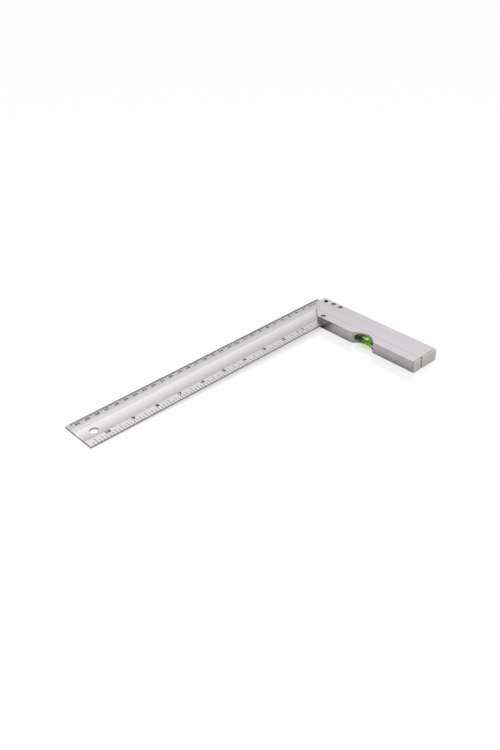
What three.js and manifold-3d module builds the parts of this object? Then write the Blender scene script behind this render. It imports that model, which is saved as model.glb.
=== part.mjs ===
// Aluminium try-and-mitre square with a 30 cm ruler blade and a spirit level in its stock.
//
// Millimetres, +Z up, lying flat. Every piece is drawn from the square's own corner: x = 0 on the
// stock's outer face, y = 0 on the blade's outer edge, z = 0 on the stock's underside. The blade
// runs towards -x and the stock towards -y. The whole square is then moved so that the origin is
// the centre of its base.

import * as THREE from 'three';
import { mergeVertices } from 'three/addons/utils/BufferGeometryUtils.js';
import Module from 'manifold-3d';

const wasm = await Module();
wasm.setup();

// ---- Blade ----
const BLADE_LENGTH = 306.2;
const BLADE_WIDTH = 39;
const BLADE_THICKNESS = 1.8;
const BLADE_TOP = 6.25;
const BEVEL_WIDTH = 8.6;
const BEVEL_EDGE_THICKNESS = 1.25;
const TROUGH_START = 14.1;
const TROUGH_WIDTH = 16.1;
const TROUGH_DEPTH = 0.4;
const HANGING_HOLE_DIAMETER = 8;
const HANGING_HOLE_FROM_TIP = 14.4;

// ---- Stock, an extrusion with two hollows side by side ----
const STOCK_WIDTH = 32.2;
const STOCK_HEIGHT = 11.8;
const STOCK_LENGTH = 137.6;
const STOCK_CORNER_RADIUS = 0.5;
const HEAD_FROM_BLADE_EDGE = 11.7;
const MITRE_CUT = 19.1;
const FIT_GAP = 0.3;
const NARROW_HOLLOW = { from: -30.6, to: -22.9, bottom: 2.05, radius: 3.84 };
const WIDE_HOLLOW = { from: -20.2, to: -1.8, bottom: 1.6, radius: 0.6 };
const GROOVES_X = [-22.9, -9.7];
const GROOVE_WIDTH = 0.6;
const GROOVE_DEPTH = 0.3;
const WINDOW_CHORD = 25.6;
const WINDOW_DEPTH = 7.1;
const WINDOW_Y = -89.5;

// ---- Pins through the stock and the blade ----
const PIN_RADIUS = 2.2;
const PIN_HOLE_RADIUS = 2.5;
const PIN_SINK = 0.8;
const PIN_CHAMFER = 0.3;
const PINS = {
  pin_head: [-4.4, -26.7],
  pin_heel: [-4.4, -36],
  pin_inner: [-28.6, -35.6],
};
const OPEN_HOLE = { x: -4.9, y: -17.2, radius: 2 };

// ---- End caps ----
const CAP_FLANGE = 2;
const CAP_EDGE_RADIUS = 0.4;
const CAP_PLUG_LENGTH = 8;
const CAP_FIT = 0.2;
const CAP_SEAT_GAP = 0.05;
const NARROW_CAP = { from: -32.2, to: -22.7 };
const WIDE_CAP = { from: -20.4, to: 0 };

// ---- Spirit level, centred on the window ----
const VIAL_X = -26.75;
const VIAL_LENGTH = 30;
const VIAL_RADIUS = 3.7;
const BORE_RADIUS = 2.75;
const BORE_CROWN = 0.1;
const CHAMBER_HALF_LENGTH = 7.6;
const PLUG_LENGTH = 4.5;
const LIQUID_GAP = 0.25;
const LIQUID_LEVEL = 0.4;
const BUBBLE = { halfLength: 4.2, halfWidth: 1.6, halfHeight: 0.8, rise: 1.45 };
const RING_OFFSET = 4.7;
const RING_WIDTH = 0.4;
const RING_DEPTH = 0.2;
const RING_GAP = 0.05;

const ROUND_SIDES = 36;
const QUARTER = Math.PI / 2;
const CUT_MARGIN = 2;

const bladeBottom = BLADE_TOP - BLADE_THICKNESS;
const headY = -HEAD_FROM_BLADE_EDGE;
const tailY = headY - STOCK_LENGTH;
const midHeight = STOCK_HEIGHT / 2;
const overallDepth = HEAD_FROM_BLADE_EDGE + STOCK_LENGTH + CAP_FLANGE + CAP_SEAT_GAP;

// ---- Finishes ----
function finish(color, roughness, metalness, opacity = 1) {
  return new THREE.MeshStandardMaterial({
    color,
    roughness,
    metalness,
    opacity,
    transparent: opacity < 1,
  });
}

const satinAluminium = finish(0xd3d0d4, 0.4, 0.9);
const bladeAluminium = finish(0xdcdbdc, 0.35, 0.9);
const pinSteel = finish(0x9a918c, 0.45, 1);
const greyPlastic = finish(0xb4b0b0, 0.5, 0);
const clearAcrylic = finish(0xe6f2e4, 0.05, 0, 0.35);
const levelLiquid = finish(0x4fae2a, 0.1, 0, 0.8);
const airBubble = finish(0xe4ec8a, 0.05, 0, 0.6);
const ringBlack = finish(0x141414, 0.5, 0);

// ---- Closed solids, and joining and cutting them ----
function toSolid(geometry) {
  const bare = geometry.clone();
  bare.deleteAttribute('normal');
  bare.deleteAttribute('uv');
  const welded = mergeVertices(bare);
  const vertProperties = new Float32Array(welded.attributes.position.array);
  const triVerts = new Uint32Array(welded.index.array);
  return new wasm.Manifold(new wasm.Mesh({ numProp: 3, vertProperties, triVerts }));
}

function toGeometry(solid) {
  const { vertProperties, triVerts } = solid.getMesh();
  const geometry = new THREE.BufferGeometry();
  geometry.setAttribute('position', new THREE.BufferAttribute(vertProperties, 3));
  geometry.setIndex(new THREE.BufferAttribute(triVerts, 1));
  geometry.computeVertexNormals();
  return geometry;
}

function cut(body, tools) {
  return tools.reduce((rest, tool) => rest.subtract(tool), body);
}

function box(from, to) {
  const size = to.map((value, axis) => value - from[axis]);
  const middle = to.map((value, axis) => (value + from[axis]) / 2);
  return toSolid(new THREE.BoxGeometry(...size).translate(...middle));
}

function uprightCylinder(x, y, radius, height) {
  const cylinder = new THREE.CylinderGeometry(radius, radius, height, ROUND_SIDES);
  return toSolid(cylinder.rotateX(QUARTER).translate(x, y, midHeight));
}

function turned(profile) {
  const points = profile.map(([radius, along]) => new THREE.Vector2(radius, along));
  return toSolid(new THREE.LatheGeometry(points, ROUND_SIDES));
}

// A flat outline in x and z, drawn out along -y from y = 0.
function drawnBackwards(shape, depth, bevel = {}) {
  const settings = { depth, bevelEnabled: false, curveSegments: 6, ...bevel };
  return new THREE.ExtrudeGeometry(shape, settings).rotateX(QUARTER);
}

function roundedOutline(outline, from, to, bottom, top, radius) {
  outline.moveTo(from + radius, bottom);
  outline.lineTo(to - radius, bottom);
  outline.absarc(to - radius, bottom + radius, radius, -QUARTER, 0, false);
  outline.absarc(to - radius, top - radius, radius, 0, QUARTER, false);
  outline.absarc(from + radius, top - radius, radius, QUARTER, 2 * QUARTER, false);
  outline.absarc(from + radius, bottom + radius, radius, 2 * QUARTER, 3 * QUARTER, false);
  outline.closePath();
  return outline;
}

// ---- Stock: the hollow extrusion, sawn to a mitre, slotted, windowed and drilled ----
function hollowOutline({ from, to, bottom, radius }, shrink = 0) {
  const top = STOCK_HEIGHT - bottom - shrink;
  return [from + shrink, to - shrink, bottom + shrink, top, radius - shrink];
}

function grooveTool(x, z) {
  const side = GROOVE_DEPTH * Math.SQRT2;
  const length = STOCK_LENGTH + 2 * CUT_MARGIN;
  const bar = new THREE.BoxGeometry(side, length, side).rotateY(QUARTER / 2);
  bar.scale(GROOVE_WIDTH / (2 * GROOVE_DEPTH), 1, 1);
  return toSolid(bar.translate(x, headY - STOCK_LENGTH / 2, z));
}

function mitreTool() {
  const outline = new THREE.Shape();
  outline.moveTo(-STOCK_WIDTH - CUT_MARGIN, headY - MITRE_CUT - CUT_MARGIN);
  outline.lineTo(-STOCK_WIDTH + MITRE_CUT + CUT_MARGIN, headY + CUT_MARGIN);
  outline.lineTo(-STOCK_WIDTH - CUT_MARGIN, headY + CUT_MARGIN);
  outline.closePath();
  const depth = STOCK_HEIGHT + 2 * CUT_MARGIN;
  const prism = new THREE.ExtrudeGeometry(outline, { depth, bevelEnabled: false });
  return toSolid(prism.translate(0, 0, -CUT_MARGIN));
}

function windowTool() {
  const halfChord = WINDOW_CHORD / 2;
  const radius = (halfChord ** 2 + WINDOW_DEPTH ** 2) / (2 * WINDOW_DEPTH);
  const centreX = -STOCK_WIDTH + WINDOW_DEPTH - radius;
  const height = STOCK_HEIGHT + 2 * CUT_MARGIN;
  const cylinder = new THREE.CylinderGeometry(radius, radius, height, 2 * ROUND_SIDES);
  return toSolid(cylinder.rotateX(QUARTER).translate(centreX, WINDOW_Y, midHeight));
}

function pinHoles() {
  const height = STOCK_HEIGHT + 2 * CUT_MARGIN;
  const holes = Object.values(PINS).map(([x, y]) => uprightCylinder(x, y, PIN_HOLE_RADIUS, height));
  holes.push(uprightCylinder(OPEN_HOLE.x, OPEN_HOLE.y, OPEN_HOLE.radius, height));
  return holes;
}

function stockBody() {
  const section = roundedOutline(
    new THREE.Shape(), -STOCK_WIDTH, 0, 0, STOCK_HEIGHT, STOCK_CORNER_RADIUS);
  for (const hollow of [NARROW_HOLLOW, WIDE_HOLLOW]) {
    section.holes.push(roundedOutline(new THREE.Path(), ...hollowOutline(hollow)));
  }
  const extrusion = toSolid(drawnBackwards(section, STOCK_LENGTH).translate(0, headY, 0));
  const slot = box(
    [-STOCK_WIDTH - CUT_MARGIN, -BLADE_WIDTH - FIT_GAP, bladeBottom - FIT_GAP],
    [CUT_MARGIN, headY + CUT_MARGIN, BLADE_TOP + FIT_GAP],
  );
  const grooves = GROOVES_X.flatMap((x) => [grooveTool(x, 0), grooveTool(x, STOCK_HEIGHT)]);
  return cut(extrusion, [...grooves, mitreTool(), slot, windowTool(), ...pinHoles()]);
}

// ---- Blade: bevelled along the centimetre edge, with a shallow round trough down the middle ----
function bladeBody() {
  const chord = TROUGH_WIDTH / 2;
  const arcRadius = (chord ** 2 + TROUGH_DEPTH ** 2) / (2 * TROUGH_DEPTH);
  const arcCentreY = -TROUGH_START - chord;
  const arcCentreZ = BLADE_TOP + arcRadius - TROUGH_DEPTH;
  const halfAngle = Math.asin(chord / arcRadius);
  const section = new THREE.Shape();
  section.moveTo(-BLADE_WIDTH, bladeBottom);
  section.lineTo(0, bladeBottom);
  section.lineTo(0, bladeBottom + BEVEL_EDGE_THICKNESS);
  section.lineTo(-BEVEL_WIDTH, BLADE_TOP);
  section.absarc(arcCentreY, arcCentreZ, arcRadius, -QUARTER + halfAngle, -QUARTER - halfAngle, true);
  section.lineTo(-BLADE_WIDTH, BLADE_TOP);
  section.closePath();
  const settings = { depth: BLADE_LENGTH, bevelEnabled: false, curveSegments: 12 };
  const bar = new THREE.ExtrudeGeometry(section, settings);
  const alongX = new THREE.Matrix4().makeBasis(
    new THREE.Vector3(0, 1, 0), new THREE.Vector3(0, 0, 1), new THREE.Vector3(1, 0, 0));
  bar.applyMatrix4(alongX).translate(-BLADE_LENGTH, 0, 0);
  const hangingHole = uprightCylinder(
    -BLADE_LENGTH + HANGING_HOLE_FROM_TIP,
    arcCentreY,
    HANGING_HOLE_DIAMETER / 2,
    STOCK_HEIGHT,
  );
  return cut(toSolid(bar), [hangingHole, ...pinHoles()]);
}

// ---- Pins: short chamfered rods, sunk below both faces of the stock ----
function pin([x, y]) {
  const low = PIN_SINK;
  const high = STOCK_HEIGHT - PIN_SINK;
  const profile = [
    [0, low],
    [PIN_RADIUS - PIN_CHAMFER, low],
    [PIN_RADIUS, low + PIN_CHAMFER],
    [PIN_RADIUS, high - PIN_CHAMFER],
    [PIN_RADIUS - PIN_CHAMFER, high],
    [0, high],
  ];
  return turned(profile).rotate([90, 0, 0]).translate([x, y, 0]);
}

// ---- End caps: a soft-edged flange as high as the stock, and a plug that fills its hollow ----
function endCap({ from, to }, hollow) {
  const inset = CAP_EDGE_RADIUS;
  const flangeOutline = roundedOutline(
    new THREE.Shape(), from + inset, to - inset, inset, STOCK_HEIGHT - inset, inset);
  const softEdge = { bevelEnabled: true, bevelThickness: inset, bevelSize: inset, bevelSegments: 3 };
  const flange = drawnBackwards(flangeOutline, CAP_FLANGE - 2 * inset, softEdge);
  flange.translate(0, tailY - CAP_SEAT_GAP - inset, 0);
  const plugOutline = roundedOutline(new THREE.Shape(), ...hollowOutline(hollow, CAP_FIT));
  const plug = drawnBackwards(plugOutline, CAP_PLUG_LENGTH + 1);
  plug.translate(0, tailY + CAP_PLUG_LENGTH, 0);
  return toSolid(flange).add(toSolid(plug));
}

// ---- Spirit level: everything is turned about the vial's own axis, which lies along y ----
function crownedBore(from, to, radius) {
  const steps = 6;
  return Array.from({ length: steps + 1 }, (_, step) => {
    const along = from + ((to - from) * step) / steps;
    return [radius - BORE_CROWN * (along / CHAMBER_HALF_LENGTH) ** 2, along];
  });
}

function ringSeat(centre) {
  const half = RING_WIDTH / 2 + RING_GAP;
  const floor = VIAL_RADIUS - RING_DEPTH - 2 * RING_GAP;
  return [
    [VIAL_RADIUS, centre - half],
    [floor, centre - half],
    [floor, centre + half],
    [VIAL_RADIUS, centre + half],
  ];
}

function vialBarrel() {
  const end = VIAL_LENGTH / 2;
  return turned([
    [BORE_RADIUS, -end],
    [VIAL_RADIUS, -end],
    ...ringSeat(-RING_OFFSET),
    ...ringSeat(RING_OFFSET),
    [VIAL_RADIUS, end],
    [0, end],
    [0, CHAMBER_HALF_LENGTH],
    ...crownedBore(CHAMBER_HALF_LENGTH, -CHAMBER_HALF_LENGTH, BORE_RADIUS),
    [BORE_RADIUS, -CHAMBER_HALF_LENGTH],
    [BORE_RADIUS, -end],
  ]);
}

function vialPlug() {
  const inner = -CHAMBER_HALF_LENGTH - LIQUID_GAP;
  const radius = BORE_RADIUS - RING_GAP;
  return turned([
    [0, inner - PLUG_LENGTH],
    [radius, inner - PLUG_LENGTH],
    [radius, inner],
    [0, inner],
  ]);
}

function vialLiquid() {
  const end = CHAMBER_HALF_LENGTH - LIQUID_GAP;
  const radius = BORE_RADIUS - LIQUID_GAP;
  const whole = turned([[0, -end], ...crownedBore(-end, end, radius), [0, end]]);
  const above = box(
    [-VIAL_RADIUS, -CHAMBER_HALF_LENGTH, LIQUID_LEVEL],
    [VIAL_RADIUS, CHAMBER_HALF_LENGTH, VIAL_RADIUS],
  );
  return whole.subtract(above);
}

function vialBubble() {
  const { halfLength, halfWidth, halfHeight, rise } = BUBBLE;
  const ball = new THREE.SphereGeometry(1, 24, 16);
  return toSolid(ball.scale(halfWidth, halfLength, halfHeight).translate(0, 0, rise));
}

function indexRing(centre) {
  const inner = VIAL_RADIUS - RING_DEPTH - RING_GAP;
  const outer = VIAL_RADIUS - RING_GAP;
  const half = RING_WIDTH / 2;
  return turned([
    [inner, centre - half],
    [outer, centre - half],
    [outer, centre + half],
    [inner, centre + half],
    [inner, centre - half],
  ]);
}

// ---- Assembly ----
function place(parent, name, solid, material) {
  const mesh = new THREE.Mesh(toGeometry(solid), material);
  mesh.name = name;
  parent.add(mesh);
}

const square = new THREE.Group();
square.position.set(BLADE_LENGTH / 2, overallDepth / 2, 0);
place(square, 'stock_body', stockBody(), satinAluminium);
place(square, 'blade', bladeBody(), bladeAluminium);
for (const [name, centre] of Object.entries(PINS)) {
  place(square, name, pin(centre), pinSteel);
}
place(square, 'cap_narrow', endCap(NARROW_CAP, NARROW_HOLLOW), greyPlastic);
place(square, 'cap_wide', endCap(WIDE_CAP, WIDE_HOLLOW), greyPlastic);

const level = new THREE.Group();
level.position.set(VIAL_X, WINDOW_Y, midHeight);
square.add(level);
place(level, 'vial_barrel', vialBarrel(), clearAcrylic);
place(level, 'vial_plug', vialPlug(), greyPlastic);
place(level, 'vial_liquid', vialLiquid(), levelLiquid);
place(level, 'vial_bubble', vialBubble(), airBubble);
place(level, 'vial_ring_head', indexRing(RING_OFFSET), ringBlack);
place(level, 'vial_ring_tail', indexRing(-RING_OFFSET), ringBlack);

const part = new THREE.Group();
part.add(square);

export default part;
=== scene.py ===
"""Aluminium try-and-mitre square with a ruler blade and a spirit level, finished round its CAD frame.

Sizes are in millimetres from the square's own corner, where the stock's outer face meets the
blade's outer edge: the blade runs to -x, the stock to -y, and z = 0 is the stock's underside.
"""
import math

import bmesh
import bpy
from mathutils import Matrix, Vector


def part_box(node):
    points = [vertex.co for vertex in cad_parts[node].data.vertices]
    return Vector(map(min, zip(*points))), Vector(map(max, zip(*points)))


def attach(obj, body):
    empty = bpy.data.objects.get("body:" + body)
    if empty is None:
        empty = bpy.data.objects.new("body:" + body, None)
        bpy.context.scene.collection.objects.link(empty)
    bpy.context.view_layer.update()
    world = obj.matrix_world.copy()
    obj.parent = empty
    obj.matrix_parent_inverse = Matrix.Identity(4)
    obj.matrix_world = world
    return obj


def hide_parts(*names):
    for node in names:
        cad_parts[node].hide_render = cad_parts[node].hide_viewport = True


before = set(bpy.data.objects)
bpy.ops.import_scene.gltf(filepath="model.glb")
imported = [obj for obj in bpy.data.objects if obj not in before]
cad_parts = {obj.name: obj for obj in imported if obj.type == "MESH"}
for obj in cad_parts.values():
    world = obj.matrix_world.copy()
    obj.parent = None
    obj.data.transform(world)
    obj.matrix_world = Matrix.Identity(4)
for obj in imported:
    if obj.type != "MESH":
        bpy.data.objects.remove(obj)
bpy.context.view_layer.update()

# ---------------------------------------------------------------------------------------------
# Stock: an aluminium extrusion with two hollows side by side, satin anodised after extrusion.
# It is sawn square at its tail and to a mitre at its head, then slotted for the blade, milled
# out for the level's window and drilled for three pins and one open hole.
# ---------------------------------------------------------------------------------------------
MM = 0.001
CORNER = Vector((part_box("stock_body")[1].x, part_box("blade")[1].y, 0))

STOCK_WIDTH = 32.2
STOCK_HEIGHT = 11.8
HEAD_Y = -11.7
TAIL_Y = HEAD_Y - 137.6
MID_HEIGHT = STOCK_HEIGHT / 2
CORNER_RADIUS = 0.45
MITRE_CUT = 19.1
SAWN_EDGE = 0.12
MARGIN = 2
SAME_PLACE = 1e-6
BROAD_AREA = 4 * MM**2

BLADE_TOP = 6.25
BLADE_THICKNESS = 1.8
BLADE_WIDTH = 39
SLOT_GAP = 0.25

NARROW_HOLLOW = {"low": -30.6, "high": -22.9, "floor": 2.05, "radius": 3.84}
WIDE_HOLLOW = {"low": -20.2, "high": -1.8, "floor": 1.6, "radius": 0.6}
GROOVES = [(-22.9, 0.5, 0.6), (-9.7, 0.36, 0.15)]  # x, width, depth

WINDOW_Y = -89.5
WINDOW_HALF_CHORD = 12.8
WINDOW_DEPTH = 7.1
WINDOW_RADIUS = (WINDOW_HALF_CHORD**2 + WINDOW_DEPTH**2) / (2 * WINDOW_DEPTH)

PINS = {"pin_head": (-4.4, -26.7), "pin_heel": (-4.4, -36), "pin_inner": (-28.6, -35.6)}
PIN_HOLE_RADIUS = 2.5
OPEN_HOLE = (-4.9, -17.2)
OPEN_HOLE_RADIUS = 2.3


def at(x, y, z):
    """A place on the square in the frame's metres."""
    return CORNER + Vector((x, y, z)) * MM


def alone(piece=None):
    """Deselects everything, then makes the piece the selected and active one."""
    bpy.ops.object.select_all(action="DESELECT")
    if piece:
        piece.select_set(True)
        bpy.context.view_layer.objects.active = piece


def settled(name):
    """Names the new object and moves its place, turn and size into its mesh."""
    piece = bpy.context.object
    piece.name = name
    piece.data.name = name
    bpy.ops.object.transform_apply(location=True, rotation=True, scale=True)
    return piece


def block(name, low, high):
    """A box between two corners."""
    low, high = at(*low), at(*high)
    alone()
    bpy.ops.mesh.primitive_cube_add(size=1, location=(low + high) / 2, scale=high - low)
    return settled(name)


def rod(name, centre, radius, length, axis="Z", sides=64):
    """A round bar along z, or lying along y with its first end at the head."""
    turn = {"Z": (0, 0, 0), "Y": (math.pi / 2, 0, 0)}[axis]
    alone()
    bpy.ops.mesh.primitive_cylinder_add(
        vertices=sides, radius=radius * MM, depth=length * MM, location=at(*centre), rotation=turn)
    return settled(name)


def edit(piece, kind, test):
    """Opens the mesh with the vertices, edges or faces that pass the test selected."""
    alone(piece)
    bpy.ops.object.mode_set(mode="EDIT")
    bpy.ops.mesh.select_mode(type=kind)
    bpy.ops.mesh.select_all(action="DESELECT")
    mesh = bmesh.from_edit_mesh(piece.data)
    for part in {"VERT": mesh.verts, "EDGE": mesh.edges, "FACE": mesh.faces}[kind]:
        if test(part):
            part.select_set(True)
    mesh.select_flush_mode()
    bmesh.update_edit_mesh(piece.data)


def close():
    """Goes back from the open mesh to the whole object."""
    bpy.ops.object.mode_set(mode="OBJECT")


def runs_along(axis):
    """True for an edge that runs along x, y or z (0, 1 or 2)."""
    return lambda edge: abs((edge.verts[1].co - edge.verts[0].co).normalized()[axis]) > 0.99


def apply_modifier(piece, kind, **settings):
    """Gives the piece one modifier with these settings and applies it."""
    alone(piece)
    modifier = piece.modifiers.new(kind.lower(), kind)
    for key, value in settings.items():
        setattr(modifier, key, value)
    bpy.ops.object.modifier_apply(modifier=modifier.name)


def cut(piece, tools, operation="DIFFERENCE"):
    """Cuts the piece with each tool, or welds them on, and takes the tools away."""
    for tool in tools:
        apply_modifier(piece, "BOOLEAN", operation=operation, object=tool, solver="EXACT")
        bpy.data.objects.remove(tool)


def is_broad_flat(face):
    """True for a large face that lies square to the frame or on the mitre."""
    mitred = abs(face.normal.z) < 1e-4 and abs(abs(face.normal.x) - abs(face.normal.y)) < 1e-3
    return face.calc_area() > BROAD_AREA and (mitred or max(map(abs, face.normal)) > 0.99999)


def smooth(piece, is_flat=is_broad_flat):
    """Shades the piece smooth between its sharp edges, and its flats flat."""
    alone(piece)
    bpy.ops.object.shade_smooth_by_angle(angle=math.radians(15))
    edit(piece, "FACE", is_flat)
    bpy.ops.mesh.faces_shade_flat()
    close()


def soften(piece, width, segments=2, angle=35, is_kept=None):
    """Breaks every edge that is sharper than the angle, except the ones that stay as they are."""
    edit(piece, "EDGE", lambda edge: edge.calc_face_angle(0) > math.radians(angle)
         and not (is_kept and is_kept(edge)))
    bpy.ops.mesh.bevel(offset=width * MM, segments=segments, affect="EDGES", clamp_overlap=False)
    close()


def rounded_bar(name, low, high, radius, segments=8):
    """A bar along y with its four long edges rounded."""
    bar = block(name, low, high)
    edit(bar, "EDGE", runs_along(1))
    bpy.ops.mesh.bevel(offset=radius * MM, segments=segments, affect="EDGES")
    close()
    return bar


def drilled(places, radius):
    """Upright drills through the whole height at each place."""
    tall = STOCK_HEIGHT + 2 * MARGIN
    return [rod("drill", (x, y, MID_HEIGHT), radius, tall) for x, y in places]


stock = rounded_bar(
    "stock_extrusion", (-STOCK_WIDTH, TAIL_Y, 0), (0, HEAD_Y, STOCK_HEIGHT), CORNER_RADIUS)
for groove_x, groove_width, groove_depth in GROOVES:
    for offset in (-0.5, 0, 0.5):
        edit(stock, "FACE", lambda face: True)
        bpy.ops.mesh.bisect(
            plane_co=at(groove_x + offset * groove_width, 0, 0), plane_no=(1, 0, 0))
        close()
    edit(stock, "VERT", lambda vertex: abs(vertex.co.x - at(groove_x, 0, 0).x) < SAME_PLACE)
    bpy.ops.transform.resize(
        value=(1, 1, 1 - groove_depth / MID_HEIGHT), center_override=at(groove_x, 0, MID_HEIGHT))
    close()
edit(stock, "FACE", lambda face: True)
bpy.ops.mesh.bisect(
    plane_co=at(-STOCK_WIDTH, HEAD_Y - MITRE_CUT, 0), plane_no=(-1, 1, 0),
    clear_outer=True, use_fill=True)
close()

hollows = [
    rounded_bar(
        "hollow", (hollow["low"], TAIL_Y - MARGIN, hollow["floor"]),
        (hollow["high"], HEAD_Y + MARGIN, STOCK_HEIGHT - hollow["floor"]), hollow["radius"])
    for hollow in (NARROW_HOLLOW, WIDE_HOLLOW)
]
slot = block(
    "slot", (-STOCK_WIDTH - MARGIN, -BLADE_WIDTH - SLOT_GAP, BLADE_TOP - BLADE_THICKNESS - SLOT_GAP),
    (MARGIN, HEAD_Y + MARGIN, BLADE_TOP + SLOT_GAP))
window = rod(
    "window", (-STOCK_WIDTH + WINDOW_DEPTH - WINDOW_RADIUS, WINDOW_Y, MID_HEIGHT),
    WINDOW_RADIUS, STOCK_HEIGHT + 2 * MARGIN, sides=180)
cut(stock, [*hollows, slot, window])
cut(stock, drilled(PINS.values(), PIN_HOLE_RADIUS) + drilled([OPEN_HOLE], OPEN_HOLE_RADIUS))
soften(stock, SAWN_EDGE, is_kept=lambda edge: any(
    abs((edge.verts[0].co.x + edge.verts[1].co.x) / 2 - at(groove_x, 0, 0).x) < groove_width * MM
    for groove_x, groove_width, groove_depth in GROOVES))
# Where the window runs out into the rounded edge, the broken edge must not stand proud.
low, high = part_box("stock_body")
for vertex in stock.data.vertices:
    vertex.co = [min(max(part, start), end) for part, start, end in zip(vertex.co, low, high)]
smooth(stock)


FINE_LINES = 3200
BROAD_LINES = 420
BROAD_SHARE = 0.4
LINE_HEIGHT = 0.02
MOTTLE = 0.12
GLOSS_SWING = 0.06


def drawn_lines():
    """The fine lines that an extrusion die leaves: long streaks of tone, gloss and height."""
    group = bpy.data.node_groups.new("drawn_lines", "ShaderNodeTree")
    sockets = (
        ("Vector", "INPUT", "NodeSocketVector"), ("Color", "INPUT", "NodeSocketColor"),
        ("Tone", "INPUT", "NodeSocketFloat"), ("Roughness", "INPUT", "NodeSocketFloat"),
        ("Spread", "INPUT", "NodeSocketFloat"), ("Color", "OUTPUT", "NodeSocketColor"),
        ("Roughness", "OUTPUT", "NodeSocketFloat"), ("Height", "OUTPUT", "NodeSocketFloat"))
    for name, side, kind in sockets:
        group.interface.new_socket(name=name, in_out=side, socket_type=kind)
    nodes, link = group.nodes, group.links.new
    given, result = nodes.new("NodeGroupInput"), nodes.new("NodeGroupOutput")
    fine, broad = nodes.new("ShaderNodeTexNoise"), nodes.new("ShaderNodeTexNoise")
    fine.inputs["Scale"].default_value = FINE_LINES
    fine.inputs["Detail"].default_value = 3
    broad.inputs["Scale"].default_value = BROAD_LINES
    broad.inputs["Detail"].default_value = 2
    lines = nodes.new("ShaderNodeMix")
    lines.inputs["Factor"].default_value = BROAD_SHARE
    centred = nodes.new("ShaderNodeMath")
    centred.operation = "SUBTRACT"
    centred.inputs[1].default_value = 0.5
    shade = nodes.new("ShaderNodeMath")
    shade.operation = "MULTIPLY_ADD"
    shade.inputs[2].default_value = 1
    toned = nodes.new("ShaderNodeVectorMath")
    toned.operation = "SCALE"
    gloss = nodes.new("ShaderNodeMath")
    gloss.operation = "MULTIPLY_ADD"
    for noise in (fine, broad):
        link(given.outputs["Vector"], noise.inputs["Vector"])
    link(fine.outputs[0], lines.inputs["A"])
    link(broad.outputs[0], lines.inputs["B"])
    link(lines.outputs[0], centred.inputs[0])
    link(centred.outputs[0], shade.inputs[0])
    link(given.outputs["Tone"], shade.inputs[1])
    link(given.outputs["Color"], toned.inputs[0])
    link(shade.outputs[0], toned.inputs["Scale"])
    link(centred.outputs[0], gloss.inputs[0])
    link(given.outputs["Spread"], gloss.inputs[1])
    link(given.outputs["Roughness"], gloss.inputs[2])
    link(toned.outputs[0], result.inputs["Color"])
    link(gloss.outputs[0], result.inputs["Roughness"])
    link(lines.outputs[0], result.inputs["Height"])
    return group


DRAWN_LINES = drawn_lines()


def lined_metal(name, stretch, color, roughness, metallic, tone, spread, bump):
    """Metal with fine parallel lines; the stretch is small along the axis that they follow."""
    made = bpy.data.materials.new(name)
    made.use_nodes = True
    nodes, link = made.node_tree.nodes, made.node_tree.links.new
    shader = nodes["Principled BSDF"]
    shader.inputs["Metallic"].default_value = metallic
    place, mapping = nodes.new("ShaderNodeTexCoord"), nodes.new("ShaderNodeMapping")
    mapping.inputs["Scale"].default_value = stretch
    lines, height = nodes.new("ShaderNodeGroup"), nodes.new("ShaderNodeBump")
    lines.node_tree = DRAWN_LINES
    lines.inputs["Color"].default_value = (*color, 1)
    lines.inputs["Tone"].default_value = tone
    lines.inputs["Roughness"].default_value = roughness
    lines.inputs["Spread"].default_value = spread
    height.inputs["Strength"].default_value = bump
    height.inputs["Distance"].default_value = LINE_HEIGHT * MM
    link(place.outputs["Object"], mapping.inputs["Vector"])
    link(mapping.outputs[0], lines.inputs["Vector"])
    link(lines.outputs["Color"], shader.inputs["Base Color"])
    link(lines.outputs["Roughness"], shader.inputs["Roughness"])
    link(lines.outputs["Height"], height.inputs["Height"])
    link(height.outputs[0], shader.inputs["Normal"])
    return made


def moulded(name, color, roughness, grain, bump):
    """An even finish with a fine grain, for plastic and ink, and for the painted shade on the walls
    of the wide hollow and the drilled holes.
    """
    made = bpy.data.materials.new(name)
    made.use_nodes = True
    nodes, link = made.node_tree.nodes, made.node_tree.links.new
    shader = nodes["Principled BSDF"]
    place, noise = nodes.new("ShaderNodeTexCoord"), nodes.new("ShaderNodeTexNoise")
    noise.inputs["Scale"].default_value = grain
    noise.inputs["Detail"].default_value = 4
    tones, gloss = nodes.new("ShaderNodeValToRGB"), nodes.new("ShaderNodeMapRange")
    for stop, share in zip(tones.color_ramp.elements, (1 - MOTTLE, 1 + MOTTLE)):
        stop.color = (*(channel * share for channel in color), 1)
    gloss.inputs["To Min"].default_value = roughness - GLOSS_SWING
    gloss.inputs["To Max"].default_value = roughness + GLOSS_SWING
    height = nodes.new("ShaderNodeBump")
    height.inputs["Strength"].default_value = bump
    height.inputs["Distance"].default_value = LINE_HEIGHT * MM
    link(place.outputs["Object"], noise.inputs["Vector"])
    link(noise.outputs[0], tones.inputs[0])
    link(noise.outputs[0], gloss.inputs[0])
    link(noise.outputs[0], height.inputs["Height"])
    link(tones.outputs[0], shader.inputs["Base Color"])
    link(gloss.outputs[0], shader.inputs["Roughness"])
    link(height.outputs[0], shader.inputs["Normal"])
    return made


WALL_MARGIN = 0.1
DRILL_MARGIN = 0.05


def is_skin(face):
    """True on the anodised outer skin of the stock, false on its sawn, milled and drilled faces."""
    inside = face.center - CORNER
    on_side = min(abs(inside.x), abs(inside.x + STOCK_WIDTH * MM)) < CORNER_RADIUS * MM
    on_flat = min(abs(inside.z), abs(inside.z - STOCK_HEIGHT * MM)) < CORNER_RADIUS * MM
    outwards = abs(face.normal.y) < 0.2
    return outwards and (on_flat and abs(face.normal.z) > 0.2 or on_side and abs(face.normal.x) > 0.2)


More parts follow.
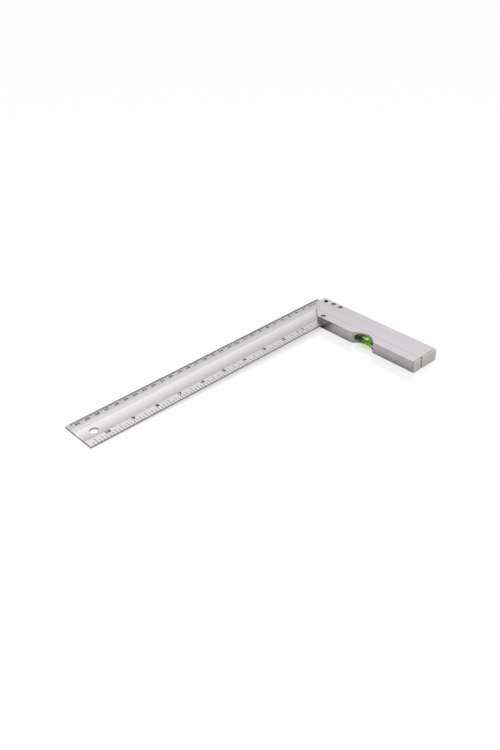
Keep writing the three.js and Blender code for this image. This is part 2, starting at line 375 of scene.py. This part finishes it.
def is_in(hollow):
    """A test that is true on the inner walls of the hollow."""
    def is_wall(face):
        inside = (face.center - CORNER) / MM
        return (
            abs(face.normal.y) < 0.1 and face.area > MM**2
            and hollow["low"] - WALL_MARGIN < inside.x < hollow["high"] + WALL_MARGIN
            and abs(inside.z - MID_HEIGHT) < MID_HEIGHT - hollow["floor"] + WALL_MARGIN)
    return is_wall


def is_drilled(face):
    """True on the walls of the pin holes and of the open hole."""
    inside = (face.center - CORNER) / MM
    return abs(face.normal.z) < 0.2 and any(
        math.hypot(inside.x - x, inside.y - y) < PIN_HOLE_RADIUS + DRILL_MARGIN
        for x, y in [*PINS.values(), OPEN_HOLE])


def dress(piece, *finishes):
    """Gives each face the first finish whose test it passes; the last finish has no test."""
    for finish, test in finishes:
        piece.data.materials.append(finish)
    for face in piece.data.polygons:
        face.material_index = next(
            index for index, (finish, test) in enumerate(finishes) if test is None or test(face))


def put(piece, body, slot_name, *nodes):
    """The piece rides on its body and stands for the CAD nodes, which it hides. The slot name is not
    used.
    """
    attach(piece, body)
    if nodes:
        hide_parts(*nodes)


ALONG_STOCK = (1, 0.006, 1)
SAW_MARKS = (0.2, 0.2, 1)

# Painted shade: the wide hollow's bare aluminium walls are drawn nearly black, as the shade inside
# it.
hollow_painted_shade = moulded("hollow_painted_shade", (0.04, 0.04, 0.038), 0.7, 900, 0.3)
vial_seat = lined_metal("vial_seat", ALONG_STOCK, (0.8, 0.8, 0.72), 0.4, 1, 0.1, 0.1, 0.2)
# Painted shade: the walls of the pin holes and the open hole are bare aluminium drawn nearly black,
# as the shade in the holes.
drilled_wall_shade = moulded("drilled_wall_shade", (0.07, 0.06, 0.055), 0.6, 1500, 0.4)
stock_skin = lined_metal(
    "stock_satin", ALONG_STOCK, (0.83, 0.787, 0.82), 0.32, 1, 0.05, 0.06, 0.12)
sawn_metal = lined_metal("sawn_aluminium", SAW_MARKS, (0.66, 0.64, 0.6), 0.45, 1, 0.3, 0.2, 0.5)
dress(
    stock, (stock_skin, is_skin), (drilled_wall_shade, is_drilled), (vial_seat, is_in(NARROW_HOLLOW)),
    (hollow_painted_shade, is_in(WIDE_HOLLOW)), (sawn_metal, None))
put(stock, "square", "stock_aluminium", "stock_body")

# ---------------------------------------------------------------------------------------------
# Blade: an extruded aluminium rule, bevelled along its centimetre edge, with a shallow round
# trough down the middle that stiffens it. It is sawn square at both ends and drilled to hang.
# ---------------------------------------------------------------------------------------------
BLADE_LENGTH = 306.2
BLADE_BOTTOM = BLADE_TOP - BLADE_THICKNESS
BEVEL_WIDTH = 8.6
BEVEL_DROP = 0.55
TROUGH_START = -14.1
TROUGH_WIDTH = 16.1
TROUGH_DEPTH = 0.4
TROUGH_STEPS = 16
HANGING_HOLE = (-BLADE_LENGTH + 14.4, TROUGH_START - TROUGH_WIDTH / 2)
HANGING_HOLE_RADIUS = 4
BLADE_EDGE = 0.1
ALONG_BLADE = (0.006, 1, 1)


def blade_top(y):
    """How high the blade's top face is, at a distance y from its outer edge."""
    if y > -BEVEL_WIDTH:
        return BLADE_TOP - BEVEL_DROP * (1 + y / BEVEL_WIDTH)
    across = (y - HANGING_HOLE[1]) / (TROUGH_WIDTH / 2)
    return BLADE_TOP - TROUGH_DEPTH * max(0, 1 - across**2)


blade = block(
    "ruler_blade", (-BLADE_LENGTH, -BLADE_WIDTH, BLADE_BOTTOM), (0, 0, BLADE_TOP))
trough_lines = [
    TROUGH_START - TROUGH_WIDTH * step / TROUGH_STEPS for step in range(TROUGH_STEPS + 1)]
for line_y in [-BEVEL_WIDTH, *trough_lines]:
    edit(blade, "FACE", lambda face: True)
    bpy.ops.mesh.bisect(plane_co=at(0, line_y, 0), plane_no=(0, 1, 0))
    close()
for line_y in [0, *trough_lines]:
    edit(blade, "VERT", lambda vertex: (
        vertex.co - at(vertex.co.x, line_y, BLADE_TOP)).yz.length < SAME_PLACE)
    bpy.ops.transform.translate(value=(0, 0, (blade_top(line_y) - BLADE_TOP) * MM))
    close()
cut(blade, drilled([HANGING_HOLE], HANGING_HOLE_RADIUS) + drilled(PINS.values(), PIN_HOLE_RADIUS))
soften(blade, BLADE_EDGE)
for line_y in (-BEVEL_WIDTH, trough_lines[0], trough_lines[-1]):
    edit(blade, "EDGE", lambda edge: all(
        abs(vertex.co.y - at(0, line_y, 0).y) < 10 * SAME_PLACE and vertex.co.z > MID_HEIGHT * MM
        for vertex in edge.verts))
    bpy.ops.mesh.mark_sharp()
    close()
smooth(blade, lambda face: is_broad_flat(face) or (
    face.calc_center_median().y > at(0, -BEVEL_WIDTH, 0).y and face.calc_area() > BROAD_AREA))

blade_skin = lined_metal(
    "blade_satin", ALONG_BLADE, (0.82, 0.79, 0.805), 0.3, 1, 0.04, 0.05, 0.1)
# Painted shade: the blade's sides, ends and broken edges are the same metal as its top, drawn darker.
blade_edge_shade = lined_metal("blade_edge_shade", ALONG_BLADE, (0.5, 0.465, 0.45), 0.4, 1, 0.15, 0.1, 0.2)
dress(blade, (blade_skin, lambda face: abs(face.normal.z) > 0.9), (blade_edge_shade, None))
put(blade, "square", "blade_aluminium", "blade")

# ---------------------------------------------------------------------------------------------
# Scales: black lines and numbers printed on the blade, centimetres and millimetres along the
# bevelled edge and inches in eighths along the other. The ink is a thin layer on the metal.
# ---------------------------------------------------------------------------------------------
INK = 0.05
CM_LINE = 0.52
INCH_LINE = 0.38
CM_ZERO = -1.5
CM_STEP = 10
CM_LENGTHS = [3.8, 2.3, 2.3, 2.3, 2.3, 2.9, 2.3, 2.3, 2.3, 2.3]
CM_COUNT = 30
CM_NUMBER_Y = -4.7
CM_NUMBER_HEIGHT = 3
CM_NUMBER_RIGHT = 5.7
CM_NUMBER_STRETCH = 1.3
CM_NUMBER_STROKE = 0.03
CM_UNIT_HEIGHT = 1.9
INCH = 25.4
EIGHTH = INCH / 8
INCH_ZERO = -31.7
INCH_LENGTHS = [3.9, 5.6, 3.9, 7.1, 3.9, 5.6, 3.9, 8.8]
INCH_COUNT = 10
UNDER_TEN = 4.6
INCH_NUMBER_Y = -32
INCH_NUMBER_HEIGHT = 3.8
INCH_NUMBER_RIGHT = 3.7
INCH_NUMBER_STRETCH = 1.15
INCH_NUMBER_STROKE = 0.055
INCH_UNIT_HEIGHT = 2.4


def joined(name, pieces):
    """Makes one object of the pieces."""
    alone(pieces[0])
    for piece in pieces:
        piece.select_set(True)
    if len(pieces) > 1:
        bpy.ops.object.join()
    return settled(name)


def ruled(width, first, step, lengths, foot, inwards):
    """A row of printed lines that stand on one edge of the blade and reach inwards."""
    row = []
    for place, length in enumerate(lengths):
        x = first - place * step
        ends = sorted((foot, foot + inwards * length))
        row.append(block("line", (x - width / 2, ends[0], -INK), (x + width / 2, ends[1], INK)))
    return joined("lines", row)


def repeated(piece, count, step):
    """Repeats the piece towards the blade's tip."""
    apply_modifier(
        piece, "ARRAY", count=count, use_relative_offset=False, use_constant_offset=True,
        constant_offset_displace=(-step * MM, 0, 0))
    return piece


def number(text, height, stretch, stroke, right, middle):
    """A printed number: upright, its right side and its middle height at the given places."""
    alone()
    bpy.ops.object.text_add()
    label = bpy.context.object
    label.data.body = text
    label.data.resolution_u = 3
    label.data.offset = stroke
    label.data.extrude = 1
    bpy.ops.object.convert(target="MESH")
    edit(label, "FACE", lambda face: True)
    bpy.ops.mesh.remove_doubles(threshold=1e-5)
    bpy.ops.mesh.normals_make_consistent(inside=False)
    close()
    low = [min(v.co[axis] for v in label.data.vertices) for axis in range(3)]
    high = [max(v.co[axis] for v in label.data.vertices) for axis in range(3)]
    grow = height * MM / (high[1] - low[1])
    label.scale = (grow * stretch, grow, INK * MM)
    label.location = at(right, middle, 0)
    label.location.x -= high[0] * label.scale.x
    label.location.y -= (high[1] + low[1]) / 2 * grow
    bpy.ops.object.transform_apply(location=True, rotation=True, scale=True)
    return label


def printed(name, pieces, ink):
    """One print of all the pieces, laid on the blade's top face."""
    layer = joined(name, pieces)
    for vertex in layer.data.vertices:
        vertex.co.z += blade_top((vertex.co.y - CORNER.y) / MM) * MM
    dress(layer, (ink, None))
    put(layer, "square", "scale_black")


scale_ink = moulded("scale_ink", (0.03, 0.03, 0.033), 0.55, 9000, 0.2)

printed("centimetre_lines", [
    repeated(ruled(CM_LINE, CM_ZERO, 1, CM_LENGTHS, -INK, -1), CM_COUNT, CM_STEP),
    ruled(CM_LINE, CM_ZERO - CM_COUNT * CM_STEP, 1, CM_LENGTHS[:1], -INK, -1),
], scale_ink)
printed("centimetre_numbers", [
    number(
        str(n), CM_NUMBER_HEIGHT, CM_NUMBER_STRETCH, CM_NUMBER_STROKE,
        -CM_STEP * n + CM_NUMBER_RIGHT, CM_NUMBER_Y)
    for n in range(1, CM_COUNT + 1)
] + [number("cm", CM_UNIT_HEIGHT, 1, 0, CM_ZERO - 6, CM_NUMBER_Y - 0.4)], scale_ink)
printed("inch_lines", [
    repeated(
        ruled(INCH_LINE, INCH_ZERO - EIGHTH, EIGHTH, INCH_LENGTHS, -BLADE_WIDTH + INK, 1),
        INCH_COUNT - 1, INCH),
    ruled(
        INCH_LINE, INCH_ZERO - INCH * (INCH_COUNT - 1) - EIGHTH, EIGHTH,
        [*INCH_LENGTHS[:-1], UNDER_TEN, *INCH_LENGTHS[:5]], -BLADE_WIDTH + INK, 1),
], scale_ink)
printed("inch_numbers", [
    number(
        str(n), INCH_NUMBER_HEIGHT, INCH_NUMBER_STRETCH, INCH_NUMBER_STROKE,
        INCH_ZERO - INCH * n + INCH_NUMBER_RIGHT, INCH_NUMBER_Y)
    for n in range(1, INCH_COUNT + 1)
] + [number("in", INCH_UNIT_HEIGHT, 1, 0.01, INCH_ZERO - INCH * 1.12, INCH_NUMBER_Y)], scale_ink)

# ---------------------------------------------------------------------------------------------
# Pins: three short steel rods that pass through the stock and the blade. Each is chamfered and
# pressed in until its dull, slightly dished ends are below both faces of the stock.
# ---------------------------------------------------------------------------------------------
PIN_RADIUS = 2.42
PIN_SINK = 0.8
PIN_CHAMFER = 0.3
PIN_DISH = 0.12
PIN_RIM = 0.5
PIN_LENGTH = STOCK_HEIGHT - 2 * PIN_SINK

pin_steel = lined_metal("pin_steel", (1, 1, 0.05), (0.42, 0.37, 0.345), 0.5, 1, 0.5, 0.2, 0.5)
for pin_name, (pin_x, pin_y) in PINS.items():
    pin = rod(
        pin_name + "_rod", (pin_x, pin_y, MID_HEIGHT), PIN_RADIUS, PIN_LENGTH, sides=48)
    edit(pin, "EDGE", lambda edge: abs(edge.verts[0].co.z - edge.verts[1].co.z) < SAME_PLACE)
    bpy.ops.mesh.bevel(offset=PIN_CHAMFER * MM, segments=2, affect="EDGES")
    close()
    edit(pin, "FACE", lambda face: abs(face.normal.z) > 0.99)
    bpy.ops.mesh.inset(thickness=PIN_RIM * MM)
    bpy.ops.transform.resize(
        value=(1, 1, 1 - PIN_DISH / MID_HEIGHT), center_override=at(pin_x, pin_y, MID_HEIGHT))
    close()
    smooth(pin)
    dress(pin, (pin_steel, None))
    put(pin, "square", "pin_steel", pin_name)

# ---------------------------------------------------------------------------------------------
# End caps: two silver-grey plastic mouldings, each a soft-edged flange over the stock's tail and
# a plug that is pushed into one of its hollows.
# ---------------------------------------------------------------------------------------------
CAPS = {"cap_narrow": (-STOCK_WIDTH, -22.7, NARROW_HOLLOW), "cap_wide": (-20.4, 0, WIDE_HOLLOW)}
CAP_REACH = 2.05
CAP_SEAT_GAP = 0.2
CAP_EDGE = 0.4
CAP_PLUG = 8
CAP_FIT = 0.1

cap_grey = moulded("cap_grey", (0.7, 0.665, 0.66), 0.42, 2600, 0.25)
# Painted highlight: the caps' rounded edges are drawn lighter and warmer than their flats.
cap_edge_highlight = moulded("cap_edge_highlight", (0.78, 0.675, 0.62), 0.35, 2600, 0.1)
for cap_name, (low_x, high_x, hollow) in CAPS.items():
    cap = block(
        cap_name + "_moulding", (low_x, TAIL_Y - CAP_REACH, 0),
        (high_x, TAIL_Y - CAP_SEAT_GAP, STOCK_HEIGHT))
    edit(cap, "EDGE", lambda edge: edge.calc_length() > 0)
    bpy.ops.mesh.bevel(offset=CAP_EDGE * MM, segments=8, affect="EDGES")
    close()
    plug = rounded_bar(
        "plug", (hollow["low"] + CAP_FIT, TAIL_Y - CAP_REACH / 2, hollow["floor"] + CAP_FIT),
        (hollow["high"] - CAP_FIT, TAIL_Y + CAP_PLUG, STOCK_HEIGHT - hollow["floor"] - CAP_FIT),
        hollow["radius"] - CAP_FIT)
    cut(cap, [plug], "UNION")
    smooth(cap)
    dress(cap, (cap_edge_highlight, lambda face: max(map(abs, face.normal)) < 0.995), (cap_grey, None))
    put(cap, "square", "cap_plastic", cap_name)

# ---------------------------------------------------------------------------------------------
# Spirit level: a clear acrylic barrel in the narrow hollow, bored from its tail end, filled with
# green liquid that leaves one bubble of air, and closed by a plug. Two black rings mark level.
# ---------------------------------------------------------------------------------------------
VIAL_X = -26.75
VIAL_HALF = 15
VIAL_RADIUS = 3.65
BORE_RADIUS = 2.75
BORE_CROWN = 0.12
CHAMBER_HALF = 7.6
CHAMBER_STEPS = 12
PLUG_LENGTH = 4.5
PLUG_GAP = 0.3
PLUG_FIT = 0.1
PLUG_HOLE_FIT = 0.06
PLUG_HOLE_OVERLAP = 0.2
LIQUID_OVERLAP = 0.02
RING_OFFSET = 4.7
RING_WIDTH = 0.45
RING_DEPTH = 0.04
BUBBLE = (1.6, 4.2, 0.8)
BUBBLE_RISE = 1.75
VIAL_CENTRE = (VIAL_X, WINDOW_Y, MID_HEIGHT)
PAINTED_GLOW_START = 6


def clear(name, color, index, dye=None, density=0, painted_glow=None):
    """Clear plastic, liquid or air with a faint cloud in its gloss. A dye deepens with thickness. A
    painted glow, an emission that grows towards the lit tail end of the window, stands in for the
    light that comes in there."""
    made = bpy.data.materials.new(name)
    made.use_nodes = True
    nodes, link = made.node_tree.nodes, made.node_tree.links.new
    shader = nodes["Principled BSDF"]
    shader.inputs["Base Color"].default_value = (*color, 1)
    shader.inputs["IOR"].default_value = index
    shader.inputs["Transmission Weight"].default_value = 1
    if dye:
        absorption = nodes.new("ShaderNodeVolumeAbsorption")
        absorption.inputs["Color"].default_value = (*dye, 1)
        absorption.inputs["Density"].default_value = density
        link(absorption.outputs[0], nodes["Material Output"].inputs["Volume"])
    place, noise = nodes.new("ShaderNodeTexCoord"), nodes.new("ShaderNodeTexNoise")
    gloss = nodes.new("ShaderNodeMapRange")
    if painted_glow:
        along, lit = nodes.new("ShaderNodeSeparateXYZ"), nodes.new("ShaderNodeMapRange")
        strength = nodes.new("ShaderNodeVectorMath")
        strength.operation = "SCALE"
        strength.inputs[0].default_value = painted_glow
        lit.inputs["From Min"].default_value = at(*VIAL_CENTRE).y + PAINTED_GLOW_START * MM
        lit.inputs["From Max"].default_value = at(*VIAL_CENTRE).y - CHAMBER_HALF * MM
        link(place.outputs["Object"], along.inputs[0])
        link(along.outputs["Y"], lit.inputs[0])
        link(lit.outputs[0], strength.inputs["Scale"])
        link(strength.outputs[0], shader.inputs["Emission Color"])
        shader.inputs["Emission Strength"].default_value = 1
    noise.inputs["Scale"].default_value = 600
    gloss.inputs["To Min"].default_value = 0
    gloss.inputs["To Max"].default_value = GLOSS_SWING
    link(place.outputs["Object"], noise.inputs["Vector"])
    link(noise.outputs[0], gloss.inputs[0])
    link(gloss.outputs[0], shader.inputs["Roughness"])
    return made


def crown(piece, middle_radius, half):
    """Makes a round bar along y fullest in the middle, as the level's bore is."""
    for step in range(-CHAMBER_STEPS // 2 + 1, CHAMBER_STEPS // 2):
        step_y = WINDOW_Y + 2 * half * step / CHAMBER_STEPS
        edit(piece, "FACE", lambda face: True)
        bpy.ops.mesh.bisect(plane_co=at(VIAL_X, step_y, 0), plane_no=(0, 1, 0))
        close()
    centre = at(*VIAL_CENTRE)
    for vertex in piece.data.vertices:
        along = (vertex.co.y - centre.y) / (half * MM)
        axis = Vector((centre.x, vertex.co.y, centre.z))
        vertex.co = axis + (vertex.co - axis) * (1 - BORE_CROWN / middle_radius * along**2)
    return piece


barrel = rod("level_barrel", VIAL_CENTRE, VIAL_RADIUS, 2 * VIAL_HALF, axis="Y")
bore = crown(
    rod("bore", VIAL_CENTRE, BORE_RADIUS, 2 * CHAMBER_HALF, axis="Y"), BORE_RADIUS, CHAMBER_HALF)
plug_hole = rod(
    "plug_hole", (VIAL_X, WINDOW_Y - (VIAL_HALF + CHAMBER_HALF) / 2 - MARGIN / 2, MID_HEIGHT),
    BORE_RADIUS - BORE_CROWN - PLUG_HOLE_FIT,
    VIAL_HALF - CHAMBER_HALF + MARGIN + PLUG_HOLE_OVERLAP, axis="Y")
cut(barrel, [bore, plug_hole])
soften(barrel, 0.15, angle=50)
smooth(barrel)
dress(barrel, (clear("clear_acrylic", (0.8, 0.95, 0.62), 1.49), None))
put(barrel, "square", "clear_acrylic", "vial_barrel")

liquid = crown(
    rod("level_liquid", VIAL_CENTRE, BORE_RADIUS + LIQUID_OVERLAP,
        2 * (CHAMBER_HALF + LIQUID_OVERLAP), axis="Y"),
    BORE_RADIUS, CHAMBER_HALF)
smooth(liquid)
# Painted light: the liquid glows green, more towards the window's tail end.
green_liquid = clear(
    "green_liquid", (0.85, 1, 0.75), 1.36, dye=(0.1, 0.76, 0.24), density=400,
    painted_glow=(0.08, 0.13, 0.012))
dress(liquid, (green_liquid, None))
put(liquid, "square", "level_liquid", "vial_liquid")

alone()
bpy.ops.mesh.primitive_uv_sphere_add(
    segments=48, ring_count=24, radius=MM, scale=BUBBLE,
    location=at(VIAL_X, WINDOW_Y, MID_HEIGHT + BUBBLE_RISE))
bubble = settled("level_bubble")
alone(bubble)
bpy.ops.object.shade_smooth()
# Painted highlight: the bubble glows pale yellow as a stand-in for the bright reflection on its top.
dress(bubble, (clear("bubble_air", (0.97, 1, 0.7), 0.74, painted_glow=(0.55, 0.47, 0.17)), None))
put(bubble, "bubble", "air_bubble", "vial_bubble")

for end, ring_node in ((1, "vial_ring_head"), (-1, "vial_ring_tail")):
    ring_centre = (VIAL_X, WINDOW_Y + end * RING_OFFSET, MID_HEIGHT)
    ring = rod(ring_node + "_line", ring_centre, VIAL_RADIUS + RING_DEPTH, RING_WIDTH, axis="Y")
    inside = rod("inside", ring_centre, VIAL_RADIUS - RING_DEPTH, RING_WIDTH + MARGIN, axis="Y")
    cut(ring, [inside])
    smooth(ring)
    dress(ring, (scale_ink, None))
    put(ring, "square", "ring_black", ring_node)

plug = rod(
    "level_plug", (VIAL_X, WINDOW_Y - CHAMBER_HALF - PLUG_GAP - PLUG_LENGTH / 2, MID_HEIGHT),
    BORE_RADIUS - BORE_CROWN - PLUG_FIT, PLUG_LENGTH, axis="Y")
soften(plug, 0.2, angle=50)
smooth(plug)
dress(plug, (moulded("plug_plastic", (0.13, 0.25, 0.05), 0.5, 1800, 0.2), None))
put(plug, "square", "plug_plastic", "vial_plug")

# ---------------------------------------------------------------------------------------------
# Stage: a polished pale floor, with a patch of the light that comes green through the level. The
# square rests as it does on a bench, on the inner edge of its stock and on the tip of its blade,
# so the floor leans a little against the square's own frame.
# ---------------------------------------------------------------------------------------------
FLOOR_SIZE = 12
FLOOR_DROP = 0.05
FLOOR_LIGHT = 0.79
FLOOR_WHITE = 0.45
FLOOR_POLISH = 0.22
BOUNCE_POLISH = 0.3
GREEN_LIGHT_REACH = 8.8

rest_edge = at(-STOCK_WIDTH, 0, 0)
tip = at(-BLADE_LENGTH, 0, BLADE_BOTTOM)
lean = math.atan2(tip.z - rest_edge.z, rest_edge.x - tip.x)

alone()
bpy.ops.mesh.primitive_plane_add(
    size=FLOOR_SIZE, location=(rest_edge.x, 0, -FLOOR_DROP * MM), rotation=(0, lean, 0))
floor = settled("floor")
floor_finish = bpy.data.materials.new("polished_floor")
floor_finish.use_nodes = True
floor_nodes, floor_link = floor_finish.node_tree.nodes, floor_finish.node_tree.links.new
floor_nodes.remove(floor_nodes["Principled BSDF"])
place, reach = floor_nodes.new("ShaderNodeTexCoord"), floor_nodes.new("ShaderNodeVectorMath")
fade, tint = floor_nodes.new("ShaderNodeMapRange"), floor_nodes.new("ShaderNodeMix")
seen, lit = floor_nodes.new("ShaderNodeEmission"), floor_nodes.new("ShaderNodeBsdfDiffuse")
total, shiny = floor_nodes.new("ShaderNodeAddShader"), floor_nodes.new("ShaderNodeBsdfGlossy")
spread = floor_nodes.new("ShaderNodeMixShader")
occlusion_shade, dim = floor_nodes.new("ShaderNodeAmbientOcclusion"), floor_nodes.new("ShaderNodeBsdfDiffuse")
unseen, seen_mix = floor_nodes.new("ShaderNodeMixShader"), floor_nodes.new("ShaderNodeMixShader")
path, either = floor_nodes.new("ShaderNodeLightPath"), floor_nodes.new("ShaderNodeMath")
# What the camera sees: the green patch, some even light, shadow and a faint mirror image.
reach.operation = "DISTANCE"
reach.inputs[1].default_value = at(-STOCK_WIDTH + WINDOW_DEPTH, WINDOW_Y - 1, 0)
fade.interpolation_type = "SMOOTHSTEP"
fade.inputs["From Min"].default_value = GREEN_LIGHT_REACH * MM
fade.inputs["From Max"].default_value = GREEN_LIGHT_REACH * MM / 2
tint.data_type = "RGBA"
tint.inputs["A"].default_value = (1, 1, 1, 1)
tint.inputs["B"].default_value = (0.92, 0.94, 0.58, 1)
seen.inputs["Strength"].default_value = FLOOR_LIGHT
lit.inputs["Color"].default_value = (FLOOR_WHITE, FLOOR_WHITE, FLOOR_WHITE, 1)
shiny.inputs["Roughness"].default_value = 0.02
spread.inputs[0].default_value = FLOOR_POLISH
# What the square sees: a duller floor with painted shade, an ambient occlusion darkening that is
# deepest under the blade and beside the stock.
occlusion_shade.inputs["Color"].default_value = (0.84, 0.82, 0.81, 1)
occlusion_shade.inputs["Distance"].default_value = STOCK_HEIGHT * MM
unseen.inputs[0].default_value = BOUNCE_POLISH
either.operation = "MAXIMUM"
floor_link(place.outputs["Object"], reach.inputs[0])
floor_link(reach.outputs["Value"], fade.inputs[0])
floor_link(fade.outputs[0], tint.inputs[0])
floor_link(tint.outputs["Result"], seen.inputs["Color"])
floor_link(occlusion_shade.outputs["Color"], dim.inputs["Color"])
floor_link(dim.outputs[0], unseen.inputs[1])
floor_link(shiny.outputs[0], unseen.inputs[2])
floor_link(lit.outputs[0], total.inputs[0])
floor_link(seen.outputs[0], total.inputs[1])
floor_link(total.outputs[0], spread.inputs[1])
floor_link(shiny.outputs[0], spread.inputs[2])
floor_link(path.outputs["Is Camera Ray"], either.inputs[0])
floor_link(path.outputs["Is Transmission Ray"], either.inputs[1])
floor_link(either.outputs[0], seen_mix.inputs[0])
floor_link(unseen.outputs[0], seen_mix.inputs[1])
floor_link(spread.outputs[0], seen_mix.inputs[2])
floor_link(seen_mix.outputs[0], floor_nodes["Material Output"].inputs["Surface"])
floor.data.materials.append(floor_finish)

# ---------------------------------------------------------------------------------------------
# Light: one soft dome, dim at the horizon and brightest half-way up, as a large softbox over a
# white table gives, with a black flag on the blade's outer side and a plain white background.
# ---------------------------------------------------------------------------------------------
# Degrees above the horizon, brightness
DOME = [(0, 0.28), (12, 0.36), (20, 0.42), (28, 0.57), (34, 0.83), (42, 1.2), (55, 1.3), (90, 1)]
FLAG_SIDE = Vector((-1, 1, 0)).normalized()
FLAG_EDGE = (0.45, 0.78)
FLAG_LIGHT = 0.08

world = bpy.data.worlds.new("studio")
bpy.context.scene.world = world
world.use_nodes = True
dome_nodes, dome_link = world.node_tree.nodes, world.node_tree.links.new
where, height, ramp, white, soft, path, side, flag = (dome_nodes.new(kind) for kind in (
    "ShaderNodeTexCoord", "ShaderNodeSeparateXYZ", "ShaderNodeValToRGB", "ShaderNodeBackground",
    "ShaderNodeMixShader", "ShaderNodeLightPath", "ShaderNodeVectorMath", "ShaderNodeMapRange"))
side.operation = "DOT_PRODUCT"
side.inputs[1].default_value = FLAG_SIDE
flag.interpolation_type = "SMOOTHSTEP"
flag.inputs["From Min"].default_value = FLAG_EDGE[0]
flag.inputs["From Max"].default_value = FLAG_EDGE[1]
flag.inputs["To Min"].default_value = 1
flag.inputs["To Max"].default_value = FLAG_LIGHT
white.inputs["Color"].default_value = (1, 1, 1, 1)
stops = ramp.color_ramp.elements
for elevation, brightness in DOME:
    ends = {0: stops[0], 90: stops[-1]}
    stop = ends.get(elevation) or stops.new(math.sin(math.radians(elevation)))
    stop.color = (brightness, brightness, brightness, 1)
dome = dome_nodes["Background"]
dome_link(where.outputs["Generated"], height.inputs[0])
dome_link(height.outputs["Z"], ramp.inputs[0])
dome_link(ramp.outputs[0], dome.inputs["Color"])
dome_link(where.outputs["Generated"], side.inputs[0])
dome_link(side.outputs["Value"], flag.inputs[0])
dome_link(flag.outputs[0], dome.inputs["Strength"])
dome_link(path.outputs["Is Camera Ray"], soft.inputs[0])
dome_link(dome.outputs[0], soft.inputs[1])
dome_link(white.outputs[0], soft.inputs[2])
dome_link(soft.outputs[0], dome_nodes["World Output"].inputs["Surface"])
bpy.context.scene.view_settings.view_transform = "Standard"

# ---------------------------------------------------------------------------------------------
# Camera: above the open side between the blade's tip and the stock's tail, rolled a little.
# ---------------------------------------------------------------------------------------------
AZIMUTH, ELEVATION, ROLL = (math.radians(angle) for angle in (-41.617, 34.094, -2.029))
DISTANCE = 771.03
AIM = (-138.884, -47.472, 0)
LENS = 40.43
SENSOR_WIDTH = 36

camera = bpy.data.objects.new("camera", bpy.data.cameras.new("camera"))
bpy.context.scene.collection.objects.link(camera)
camera.data.lens = LENS
camera.data.sensor_width = SENSOR_WIDTH
back = Vector((
    math.sin(AZIMUTH) * math.cos(ELEVATION), -math.cos(AZIMUTH) * math.cos(ELEVATION),
    math.sin(ELEVATION)))
camera.matrix_world = (
    Matrix.Translation(at(*AIM) + back * DISTANCE * MM) @ Matrix.Rotation(AZIMUTH, 4, "Z")
    @ Matrix.Rotation(math.pi / 2 - ELEVATION, 4, "X") @ Matrix.Rotation(ROLL, 4, "Z"))
bpy.context.scene.camera = camera
